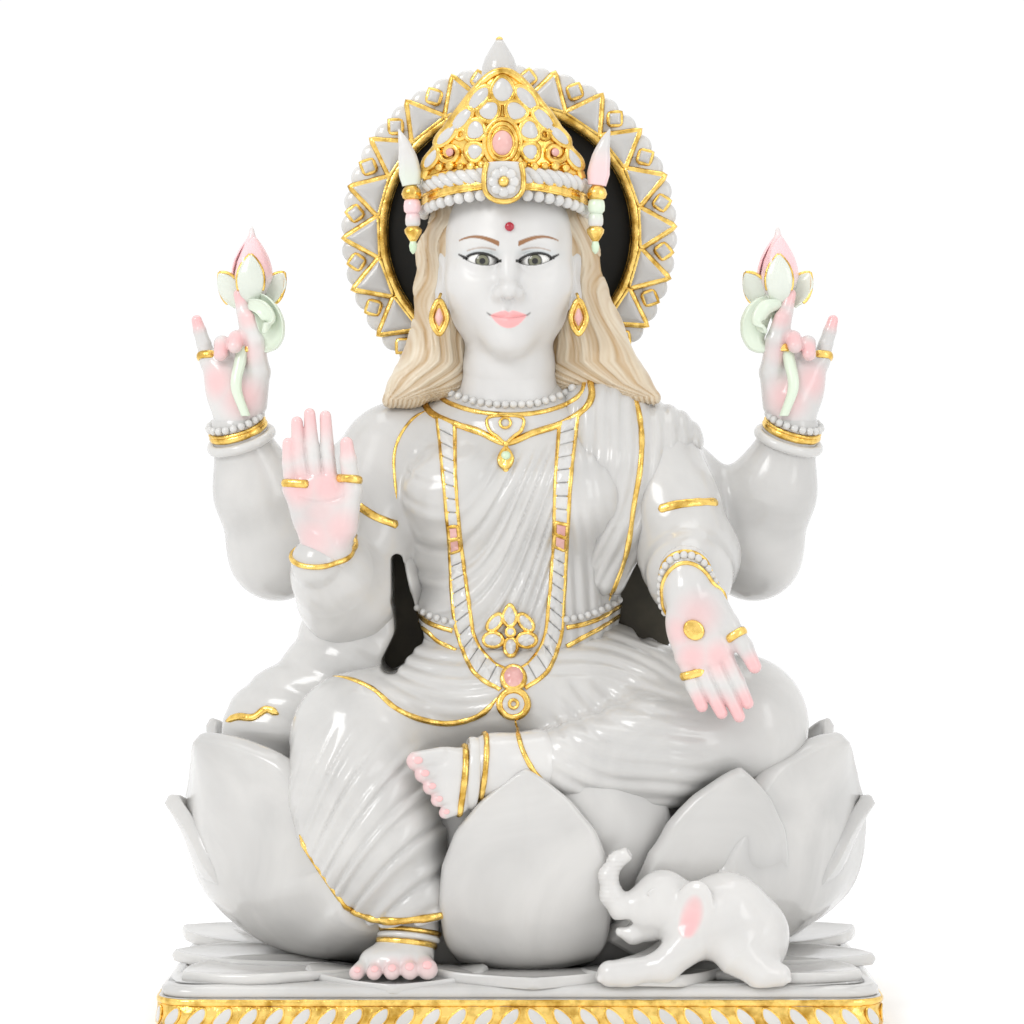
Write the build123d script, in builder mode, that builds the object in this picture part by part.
"""A seated four-armed temple figure in white marble on a lotus, with a halo, gilt trim and an elephant.

Frame: origin at the centre of the plinth's underside, +Z up, the figure faces -Y, millimetres.
Right and left are the figure's own, so its right side lies towards -X.
"""

import os

from build123d import *

os.makedirs("parts", exist_ok=True)

# Driving dimensions
HEIGHT = 610
PLINTH_W, PLINTH_D, PLINTH_H = 436, 270, 22
PLINTH_CORNER = 24
TRIM = 1.2
BED_H = 8
GROUND = PLINTH_H + BED_H
LOTUS_R = 224
LOTUS_FLATTEN = 0.56
HALO_X, HALO_Y, HALO_Z = -7, 46, 492
HALO_R, HALO_RING_R, HALO_PANEL_R, HALO_T = 110, 86, 78, 9
HALO_RAYS = 20
HEAD_CHIN, HEAD_BROW = (-7, -20, 446), (-7, -16, 472)
WRIST_R = 18

# Landmarks of the limbs, right side first
REAR_SHOULDER = ((-78, 24, 350), (76, 24, 350))
REAR_ELBOW = ((-160, 20, 287), (153, 20, 287))
REAR_WRIST = ((-181, 4, 352), (174, 4, 354))
FRONT_SHOULDER = ((-84, 0, 346), (84, 0, 346))
FRONT_ELBOW = ((-110, -46, 262), (108, -36, 284))
FRONT_WRIST = ((-119, -76, 284), (102, -92, 266))


def save(builder, label):
    """Labels a finished piece and writes it as the node of that name."""
    builder.part.label = label
    export_step(builder.part, f"parts/{label}.step")


def clear_of(*others):
    """Cuts the open part back to the faces of the pieces that it meets."""
    for other in others:
        add(other.part, mode=Mode.SUBTRACT, clean=False)


def keep_main(builder):
    """Drops the crumbs that a cut can leave, and keeps the one large solid."""
    add(builder.part.solids().sort_by(SortBy.VOLUME)[-1], mode=Mode.REPLACE)


def limb(start, end, start_r, end_r):
    """Adds a tapered limb with rounded ends to the open part."""
    run = Vector(*end) - Vector(*start)
    across = Plane(origin=start, z_dir=run)
    with BuildSketch(Plane(origin=start, x_dir=across.x_dir, z_dir=-across.y_dir)) as profile:
        with BuildLine():
            low = CenterArc((0, 0), start_r, -90, 90)
            high = CenterArc((0, run.length), end_r, 0, 90)
            Line(low @ 1, high @ 0)
            Line(high @ 1, low @ 0)
        make_face()
    revolve(profile.sketch, axis=Axis(start, run))


def stack(levels):
    """Lofts the open part through ellipses, each (x, y, z, half width, half depth)."""
    sections = []
    for x, y, z, half_w, half_d in levels:
        with BuildSketch(Plane.XY.offset(z)) as section:
            with Locations((x, y)):
                Ellipse(half_w, half_d)
        sections.append(section.sketch)
    loft(sections)


def ring(centre, axis, radius, thickness):
    """Adds a torus round an axis to the open part."""
    with Locations(Plane(origin=centre, z_dir=axis)):
        Torus(radius, thickness)


def disc(centre, axis, radius, height):
    """Adds a flat round piece, centred on a point, to the open part."""
    with Locations(Plane(origin=centre, z_dir=axis)):
        Cylinder(radius, height)


# ---------------------------------------------------------------- plinth

with BuildPart() as plinth:
    with BuildSketch():
        RectangleRounded(PLINTH_W, PLINTH_D, PLINTH_CORNER)
    extrude(amount=PLINTH_H)
save(plinth, "plinth")

LINE_H = 4.5
with BuildPart() as plinth_gold_lines:
    for level in (0, PLINTH_H - LINE_H):
        with BuildSketch(Plane.XY.offset(level)):
            RectangleRounded(PLINTH_W + 2 * TRIM, PLINTH_D + 2 * TRIM, PLINTH_CORNER + TRIM)
            RectangleRounded(PLINTH_W, PLINTH_D, PLINTH_CORNER, mode=Mode.SUBTRACT)
        extrude(amount=LINE_H)
save(plinth_gold_lines, "plinth_gold_lines")

SCALLOP_PITCH = 15.6
SCALLOP_R = 6
with BuildPart() as plinth_scallops:
    for half, run in ((PLINTH_D / 2, PLINTH_W), (PLINTH_W / 2, PLINTH_D)):
        count = int((run - 2 * PLINTH_CORNER) / SCALLOP_PITCH)
        for sign in (-1, 1):
            facing = (0, sign, 0) if run == PLINTH_W else (sign, 0, 0)
            middle = [half * f for f in facing[:2]] + [PLINTH_H / 2]
            along = (0, 0, 1)
            with BuildSketch(Plane(origin=middle, x_dir=along, z_dir=facing)):
                with GridLocations(0, SCALLOP_PITCH, 1, count):
                    Circle(SCALLOP_R)
                    with Locations((SCALLOP_R * 0.35, SCALLOP_R * 0.3)):
                        Circle(SCALLOP_R * 0.72, mode=Mode.SUBTRACT)
            extrude(amount=TRIM)
save(plinth_scallops, "plinth_scallops")

BED_INSET = 4
with BuildPart() as plinth_bed:
    with BuildSketch(Plane.XY.offset(PLINTH_H)):
        RectangleRounded(PLINTH_W - BED_INSET, PLINTH_D - BED_INSET, PLINTH_CORNER)
    extrude(amount=BED_H, taper=20)
save(plinth_bed, "plinth_bed")

# ---------------------------------------------------------------- trunk, neck and head

with BuildPart() as torso:
    stack(
        [
            (-2, 4, 226, 70, 50),
            (-2, 2, 250, 64, 48),
            (-3, 0, 300, 76, 56),
            (-3, 0, 335, 84, 56),
            (-4, 6, 366, 92, 44),
            (-5, 8, 388, 62, 32),
            (-6, 6, 396, 40, 28),
        ]
    )
save(torso, "torso")

with BuildPart() as neck:
    stack([(-6, 0, 396, 36, 27), (-7, -4, 412, 30, 25), (-7, -6, 426, 30, 26)])
save(neck, "neck")

with BuildPart() as head:
    limb(HEAD_CHIN, HEAD_BROW, 36, 43)
    clear_of(neck)
save(head, "head")

with BuildPart() as hair:
    limb((-6, -4, 436), (-6, -2, 478), 48, 44)
    limb((-46, 6, 438), (-66, 0, 400), 19, 21)
    limb((34, 6, 438), (58, 2, 400), 19, 21)
    clear_of(head, neck, torso)
    keep_main(hair)
save(hair, "hair")

# ---------------------------------------------------------------- hips, legs and feet

with BuildPart() as hips:
    for depth in (-14, 20):
        limb((-62, depth, 200), (62, depth, 200), 43, 43)
    clear_of(torso)
    keep_main(hips)
save(hips, "hips")

with BuildPart() as right_leg:
    limb((-56, -24, 186), (-104, -70, 178), 44, 36)
    limb((-104, -70, 178), (-94, -86, 116), 36, 44)
    limb((-94, -86, 116), (-70, -90, 84), 44, 28)
    clear_of(hips, torso)
    keep_main(right_leg)
save(right_leg, "right_leg")

TOES = range(5)
with BuildPart() as right_foot:
    limb((-68, -92, 60), (-72, -90, 42), 15, 15)
    for toe in TOES:
        limb((-78 + toe * 4, -92, 42), (-97 + toe * 9.8, -119, 36), 10, 5.2 + toe * 0.25)
    clear_of(right_leg, plinth_bed)
    keep_main(right_foot)
save(right_foot, "right_foot")

with BuildPart() as left_leg:
    limb((54, -26, 186), (138, -46, 180), 44, 40)
    limb((138, -56, 172), (8, -100, 158), 32, 19)
    clear_of(hips, torso, right_leg)
    keep_main(left_leg)
save(left_leg, "left_leg")

with BuildPart() as left_foot:
    for toe in TOES:
        limb((-10, -101, 163 - toe * 3), (-66 + toe * 4.8, -113, 164 - toe * 7.6), 12, 5.6 - toe * 0.4)
    clear_of(left_leg, right_leg)
    keep_main(left_foot)
save(left_foot, "left_foot")

with BuildPart() as anklets:
    for centre, axis, radius in (((-69, -91, 54), (0, 0, 1), 17), ((-22, -104, 159), (26, 8, 1), 16.5)):
        for step in (-2.6, 2.6):
            spot = Vector(*centre) + Vector(*axis).normalized() * step
            ring(spot, axis, radius, 2)
    clear_of(right_leg, left_leg, right_foot, left_foot)
save(anklets, "anklets")

# ---------------------------------------------------------------- arms

names = ("right", "left")
rear_arms, front_arms = [], []
for side in (0, 1):
    with BuildPart() as arm:
        limb(REAR_SHOULDER[side], REAR_ELBOW[side], 28, 26)
        limb(REAR_ELBOW[side], REAR_WRIST[side], 26, WRIST_R)
        clear_of(torso, hips)
        keep_main(arm)
    rear_arms.append(arm)
    with BuildPart() as arm:
        limb(FRONT_SHOULDER[side], FRONT_ELBOW[side], 31, 27)
        limb(FRONT_ELBOW[side], FRONT_WRIST[side], 27, WRIST_R + 2)
        clear_of(torso, hips, rear_arms[side], right_leg, left_leg)
        keep_main(arm)
    front_arms.append(arm)
    save(rear_arms[side], f"rear_{names[side]}_arm")
    save(front_arms[side], f"front_{names[side]}_arm")

FINGER_R = 5
with BuildPart() as front_right_hand:
    for finger, tip in enumerate((358, 368, 375, 374)):
        knuckle = (-135 + finger * 10, -86, 326)
        limb((-125 + finger * 4, -82, 298), knuckle, 9, 7.5)
        limb(knuckle, (-139 + finger * 10.5, -88, tip - FINGER_R), 6, FINGER_R - 0.4)
    limb((-110, -84, 300), (-102, -92, 348), 9, FINGER_R)
    clear_of(front_arms[0])
    keep_main(front_right_hand)
save(front_right_hand, "front_right_hand")

with BuildPart() as front_left_hand:
    for finger, tip in enumerate((194, 188, 186, 196)):
        knuckle = (98 + finger * 9, -108, 226 - finger)
        limb((99 + finger * 3, -98, 254), knuckle, 9, 7.5)
        limb(knuckle, (112 + finger * 9.2, -114, tip + FINGER_R), 6, FINGER_R)
    limb((114, -102, 250), (142, -112, 224), 9, FINGER_R)
    clear_of(front_arms[1], left_leg)
    keep_main(front_left_hand)
save(front_left_hand, "front_left_hand")

rear_hands = []
for side, sign in ((0, 1), (1, -1)):
    wrist_x, wrist_y, wrist_z = REAR_WRIST[side]
    with BuildPart() as hand:
        for across, low, high in ((-20, 62, 78), (-11, 56, 76), (-2, 58, 80)):
            knuckle = (wrist_x + sign * across, wrist_y - 5, wrist_z + low - 4)
            limb((wrist_x + sign * across * 0.3, wrist_y - 3, wrist_z + 16), knuckle, 10, 8)
            limb(knuckle, (wrist_x + sign * across, wrist_y - 12, wrist_z + high - 6), 8, 6)
        thumb_root = (wrist_x + sign * 6, wrist_y - 6, wrist_z + 20)
        thumb_knuckle = (wrist_x + sign * 16, wrist_y - 10, wrist_z + 54)
        limb(thumb_root, thumb_knuckle, 9, 8)
        limb(thumb_knuckle, (wrist_x + sign * 8, wrist_y - 12, wrist_z + 88), 7, 6)
        clear_of(rear_arms[side])
        keep_main(hand)
    save(hand, f"rear_{names[side]}_hand")
    rear_hands.append(hand)

# ---------------------------------------------------------------- lotus buds in the rear hands

BUD_AXIS = ((-172, -6), (158, -6))
with BuildPart() as lotus_buds:
    for x, y in BUD_AXIS:
        stack([(x, y, 450, 8, 7), (x, y, 462, 14, 11), (x, y, 474, 10, 8), (x, y, 493, 1.5, 1.5)])
save(lotus_buds, "lotus_buds")

with BuildPart() as lotus_sepals:
    for x, y in BUD_AXIS:
        for side_x, side_y in ((1, 0), (-1, 0), (0, 1), (0, -1)):
            limb((x + side_x * 7, y + side_y * 6, 447), (x + side_x * 17, y + side_y * 13, 464), 4, 2.5)
    clear_of(lotus_buds)
save(lotus_sepals, "lotus_sepals")

with BuildPart() as lotus_stems:
    for side, (x, y) in enumerate(BUD_AXIS):
        limb((x, y, 444), (x + (6, -6)[side], y, 424), 7, 10)
        limb((x, y - 6, 424), (REAR_WRIST[side][0] + (8, -8)[side], -18, 376), 5, 4)
    clear_of(lotus_buds, lotus_sepals, *rear_hands)
save(lotus_stems, "lotus_stems")

# ---------------------------------------------------------------- bangles, armlets and rings

with BuildPart() as gold_bangles:
    for elbow, wrist in zip(REAR_ELBOW + FRONT_ELBOW, REAR_WRIST + FRONT_WRIST):
        axis = Vector(*wrist) - Vector(*elbow)
        ring(Vector(*wrist) - axis.normalized() * 1, axis, WRIST_R + 2.6, 2.4)
    clear_of(*rear_arms, *front_arms, *rear_hands, front_left_hand, front_right_hand)
save(gold_bangles, "gold_bangles")

# Each rear wrist has a smooth white bangle below the gold one and a row of pearls above it
BANGLE_PEARL_R = 2.5
BANGLE_PEARLS = 20
with BuildPart() as white_bangles:
    for elbow, wrist in zip(REAR_ELBOW, REAR_WRIST):
        axis = Vector(*wrist) - Vector(*elbow)
        ring(Vector(*wrist) - axis.normalized() * 7, axis, WRIST_R + 3.4, 3.4)
        with Locations(Plane(origin=Vector(*wrist) + axis.normalized() * 6, z_dir=axis)):
            with PolarLocations(WRIST_R + 2, BANGLE_PEARLS):
                Sphere(BANGLE_PEARL_R)
    clear_of(*rear_arms, *rear_hands, gold_bangles)
save(white_bangles, "white_bangles")

with BuildPart() as armlets:
    for shoulder, elbow in zip(FRONT_SHOULDER, FRONT_ELBOW):
        axis = Vector(*elbow) - Vector(*shoulder)
        spot = Vector(*shoulder) + axis * 0.42
        with BuildSketch(Plane(origin=spot, z_dir=axis)):
            Circle(31)
            Circle(27, mode=Mode.SUBTRACT)
        extrude(amount=3, both=True)
    clear_of(torso, *front_arms, *rear_arms)
save(armlets, "armlets")


with BuildPart() as finger_rings:
    for centre, radius in (
        ((-136, -88, 332), 5.2),
        ((-103, -92, 335), 5.2),
        ((100, -112, 212), 5.2),
        ((-190, -8, 408), 4.4),
        ((186, -8, 408), 4.4),
    ):
        ring(centre, (0, 0, 1), radius, 1.4)
    clear_of(front_right_hand, front_left_hand, *rear_hands)
save(finger_rings, "finger_rings")

# ---------------------------------------------------------------- lotus seat

BOWL_W, BOWL_D, BOWL_H = 296, 150, 116
with BuildPart() as lotus_bowl:
    with BuildSketch(Plane.XY.offset(GROUND)):
        RectangleRounded(BOWL_W, BOWL_D, BOWL_D / 2 - 1)
    extrude(amount=BOWL_H, taper=-12)
save(lotus_bowl, "lotus_bowl")

PETAL_T = 7


def petal(angle, foot, tip, half_w):
    """Adds one leaf-shaped petal to the open part, from foot to tip, each (radius, height)."""
    radial = Vector(1, 0).rotate(Axis.Z, angle)
    outward = Vector(radial.X, radial.Y * LOTUS_FLATTEN, 0)
    across = Vector(-radial.Y, radial.X * LOTUS_FLATTEN, 0)
    start = outward * foot[0] + Vector(0, 0, foot[1])
    rise = outward * tip[0] + Vector(0, 0, tip[1]) - start
    across -= rise * (across.dot(rise) / rise.dot(rise))
    with BuildSketch(Plane(origin=start, x_dir=across, z_dir=across.cross(rise))) as leaf:
        with BuildLine():
            foot_line = Line((-half_w * 0.4, 0), (half_w * 0.4, 0))
            right = ThreePointArc(foot_line @ 1, (half_w, rise.length * 0.5), (0, rise.length))
            ThreePointArc(right @ 1, (-half_w, rise.length * 0.5), foot_line @ 0)
        make_face()
    extrude(leaf.sketch, amount=PETAL_T)


with BuildPart() as lotus_front_petal:
    petal(270, (150, 44), (203, 158), 50)
save(lotus_front_petal, "lotus_front_petal")

with BuildPart() as lotus_outer_petals:
    for angle in (0, 45, 90, 135, 180, 225, 315):
        petal(angle, (166, 46), (LOTUS_R - 5, 132), 44)
    petal(291, (168, 70), (206, 138), 30)
save(lotus_outer_petals, "lotus_outer_petals")

with BuildPart() as lotus_inner_petals:
    for angle in (22, 67, 113, 158, 202, 338):
        petal(angle, (172, 98), (208, 176), 32)
save(lotus_inner_petals, "lotus_inner_petals")

# ---------------------------------------------------------------- elephant

ELEPHANT_Y = -115
with BuildPart() as elephant_body:
    limb((114, ELEPHANT_Y, 56), (142, ELEPHANT_Y + 3, 52), 19, 17)
    limb((106, ELEPHANT_Y - 3, 48), (62, ELEPHANT_Y - 1, 38), 11, 7.5)
    limb((128, ELEPHANT_Y - 5, 40), (154, ELEPHANT_Y - 4, 38), 9, 7.5)
save(elephant_body, "elephant_body")

with BuildPart() as elephant_head:
    limb((96, ELEPHANT_Y, 76), (84, ELEPHANT_Y - 1, 72), 18, 16)
    limb((78, ELEPHANT_Y + 1, 71), (60, ELEPHANT_Y - 1, 66), 11, 7.5)
    limb((59, ELEPHANT_Y - 2, 66), (54, ELEPHANT_Y - 3, 98), 6.6, 5)
save(elephant_head, "elephant_head")

with BuildPart() as elephant_ears:
    limb((106, ELEPHANT_Y - 17, 82), (110, ELEPHANT_Y - 16, 64), 6, 4)
save(elephant_ears, "elephant_ears")

with BuildPart() as ground_petals:
    for x, y, half_w, half_d, turn in (
        (-186, 60, 26, 46, 50),
        (186, 60, 26, 46, -50),
        (-176, -86, 22, 40, -60),
        (178, -90, 20, 38, 62),
        (-78, -112, 54, 16, 0),
        (16, -120, 34, 10, 0),
    ):
        along = Vector(1, 0).rotate(Axis.Z, turn)
        with BuildSketch(Plane(origin=(x, y, GROUND), x_dir=along, z_dir=(0, 0, 1))):
            Ellipse(half_w, half_d)
        extrude(amount=5)
save(ground_petals, "ground_petals")

# ---------------------------------------------------------------- sari

with BuildPart() as shoulder_drape:
    limb((56, 26, 364), (60, -24, 358), 24, 24)
    limb((60, -24, 358), (60, -44, 290), 24, 15)
    clear_of(torso, neck, hair, *front_arms, *rear_arms)
    keep_main(shoulder_drape)
save(shoulder_drape, "shoulder_drape")

with BuildPart() as sari_end:
    limb((-110, -6, 216), (-172, -24, 196), 14, 14)
    clear_of(hips)
    keep_main(sari_end)
save(sari_end, "sari_end")

with BuildPart() as waist_webs:
    for side in (-1, 1):
        with Locations((side * 74, 16, 246)):
            Box(32, 12, 60)
    clear_of(torso, hips, *front_arms, *rear_arms)
save(waist_webs, "waist_webs")

# ---------------------------------------------------------------- jewellery on the trunk


def beads_chain(points, bead_r):
    """Adds a necklace to the open part: straight round runs from point to point."""
    for start, end in zip(points, points[1:]):
        limb(start, end, bead_r, bead_r)


with BuildPart() as collar:
    for half_w, drop in ((50, 0), (42, 6)):
        beads_chain([(-7 - half_w, -30, 385 + drop), (-7 - half_w * 0.62, -50, 366 + drop),
                     (-7, -57, 354 + drop * 1.3), (-7 + half_w * 0.62, -50, 366 + drop),
                     (-7 + half_w, -30, 385 + drop)], 4.5)
    clear_of(torso, neck, hair, shoulder_drape)
save(collar, "collar")

with BuildPart() as pendant:
    limb((-9, -60, 350), (-9, -60, 342), 3, 4)
    clear_of(torso, collar)
save(pendant, "pendant")

MALA = ((-50, -44, 356), (-45, -56, 320), (-42, -56, 290), (-36, -54, 250), (-26, -62, 224), (-4, -74, 212))
with BuildPart() as mala:
    beads_chain(MALA, 4)
    beads_chain([(-8 - x, y, z) for x, y, z in MALA], 4)
    clear_of(torso, hips, right_leg, left_leg, collar, shoulder_drape)
save(mala, "mala")

with BuildPart() as mala_gems:
    for x, y, z in ((-42, -60, 296), (34, -60, 296), (-4, -78, 210), (-4, -78, 196)):
        disc((x, y, z), (0, -1, 0), 7, 6)
    clear_of(torso, hips, mala, right_leg, left_leg, shoulder_drape)
save(mala_gems, "mala_gems")

with BuildPart() as belt:
    for level in (238, 244):
        with BuildSketch(Plane.XY.offset(level)):
            with Locations((-2, 2)):
                Ellipse(69.5, 54.5)
                Ellipse(60, 44, mode=Mode.SUBTRACT)
        extrude(amount=4)
    clear_of(torso, hips, mala, waist_webs, right_leg, left_leg, *front_arms, *rear_arms)
save(belt, "belt")

with BuildPart() as belt_flower:
    disc((-6, -57, 238), (0, -1, 0), 13, 10)
    clear_of(torso, hips, belt, mala)
    keep_main(belt_flower)
save(belt_flower, "belt_flower")

# ---------------------------------------------------------------- crown

CROWN_X, CROWN_Y = -10, -14
FINIAL_X = CROWN_X - 3
with BuildPart() as crown_body:
    stack(
        [
            (CROWN_X, CROWN_Y, 500, 47, 46),
            (CROWN_X, CROWN_Y, 524, 47, 44),
            (CROWN_X - 1, CROWN_Y, 552, 34, 32),
            (CROWN_X - 2, CROWN_Y, 574, 18, 17),
            (FINIAL_X, CROWN_Y, 588, 8, 8),
        ]
    )
    clear_of(head, hair)
    keep_main(crown_body)
save(crown_body, "crown_body")

PLATE_RISE = 60
with BuildPart() as crown_plate:
    with BuildSketch(Plane(origin=(CROWN_X, CROWN_Y - 42, 524), x_dir=(1, 0, 0), z_dir=(0, -1, 0))):
        with BuildLine():
            lip = Line((-46, 0), (46, 0))
            right = ThreePointArc(lip @ 1, (34, PLATE_RISE * 0.5), (-FINIAL_X + CROWN_X - 6, PLATE_RISE))
            ThreePointArc(right @ 1, (-37, PLATE_RISE * 0.5), lip @ 0)
        make_face()
    extrude(amount=8)
    clear_of(crown_body)
    keep_main(crown_plate)
save(crown_plate, "crown_plate")

with BuildPart() as crown_finial:
    stack(
        [
            (FINIAL_X, CROWN_Y, 586, 6, 6),
            (FINIAL_X, CROWN_Y, 593, 10.5, 10.5),
            (FINIAL_X, CROWN_Y, 601, 6.5, 6.5),
            (FINIAL_X, CROWN_Y, HEIGHT, 1, 1),
        ]
    )
    clear_of(crown_body)
    keep_main(crown_finial)
save(crown_finial, "crown_finial")


def crown_ring(level, height, half_w, half_d):
    """Adds a level oval hoop round the foot of the crown to the open part."""
    with BuildSketch(Plane.XY.offset(level)) as hoop:
        with Locations((CROWN_X, CROWN_Y)):
            Ellipse(half_w, half_d)
            Ellipse(half_w - 8, half_d - 8, mode=Mode.SUBTRACT)
    extrude(hoop.sketch, amount=height)


with BuildPart() as crown_rope:
    crown_ring(517, 6.5, 51, 50)
    clear_of(crown_body, head, hair)
    keep_main(crown_rope)
save(crown_rope, "crown_rope")

with BuildPart() as crown_band:
    crown_ring(511, 6, 50.5, 49.5)
    clear_of(crown_body, head, hair)
    keep_main(crown_band)
save(crown_band, "crown_band")

PEARL_R = 2.9
PEARL_STEP = 10
with BuildPart() as crown_pearls:
    for step in range(180, 361, PEARL_STEP):
        spot = Vector(47 + PEARL_R, 0).rotate(Axis.Z, step)
        with Locations((CROWN_X + spot.X, CROWN_Y + spot.Y, 507.5)):
            Sphere(PEARL_R)
save(crown_pearls, "crown_pearls")

with BuildPart() as crown_flower:
    disc((CROWN_X, -69, 515), (0, -1, 0), 12, 6)
save(crown_flower, "crown_flower")

with BuildPart() as plumes:
    for side in (-1, 1):
        limb((CROWN_X + side * 58, -30, 484), (CROWN_X + side * 58, -32, 520), 5, 7)
        limb((CROWN_X + side * 58, -32, 520), (CROWN_X + side * 64, -34, 544), 7, 3)
    clear_of(crown_body, crown_band, crown_rope, hair)
save(plumes, "plumes")

with BuildPart() as earrings:
    for side in (-1, 1):
        limb((HEAD_CHIN[0] + side * 44, -42, 440), (HEAD_CHIN[0] + side * 44, -42, 426), 4, 4)
    clear_of(head, neck, hair)
save(earrings, "earrings")

with BuildPart() as bindi:
    disc((HEAD_BROW[0] - 2, -56, 490), (0, -1, 0), 3, 8)
    clear_of(head)
    keep_main(bindi)
save(bindi, "bindi")

# ---------------------------------------------------------------- halo

HALO_PLANE = Plane(origin=(HALO_X, HALO_Y, HALO_Z), x_dir=(1, 0, 0), z_dir=(0, -1, 0))
HALO_BACK = (torso, hair, rear_arms[0], rear_arms[1], shoulder_drape)
BEAD_R = 5.2

with BuildPart() as halo_panel:
    with BuildSketch(HALO_PLANE):
        Circle(HALO_PANEL_R)
    extrude(amount=HALO_T / 3, both=True)
    clear_of(*HALO_BACK)
    keep_main(halo_panel)
save(halo_panel, "halo_panel")

with BuildPart() as halo_ring:
    with BuildSketch(HALO_PLANE):
        Circle(HALO_RING_R)
        Circle(HALO_PANEL_R, mode=Mode.SUBTRACT)
    extrude(amount=HALO_T / 2, both=True)
    clear_of(*HALO_BACK)
    keep_main(halo_ring)
save(halo_ring, "halo_ring")

RAY_STEP = 360 / HALO_RAYS
with BuildPart() as halo_rays:
    with BuildSketch(HALO_PLANE):
        Circle(HALO_R - 2 * BEAD_R)
        Circle(HALO_RING_R, mode=Mode.SUBTRACT)
    extrude(amount=HALO_T / 2 - 0.5, both=True)
    clear_of(*HALO_BACK)
    keep_main(halo_rays)
save(halo_rays, "halo_rays")

with BuildPart() as halo_beads:
    with Locations(HALO_PLANE):
        with PolarLocations(HALO_R - BEAD_R, HALO_RAYS * 2, start_angle=90 + RAY_STEP / 4):
            Sphere(BEAD_R)
save(halo_beads, "halo_beads")
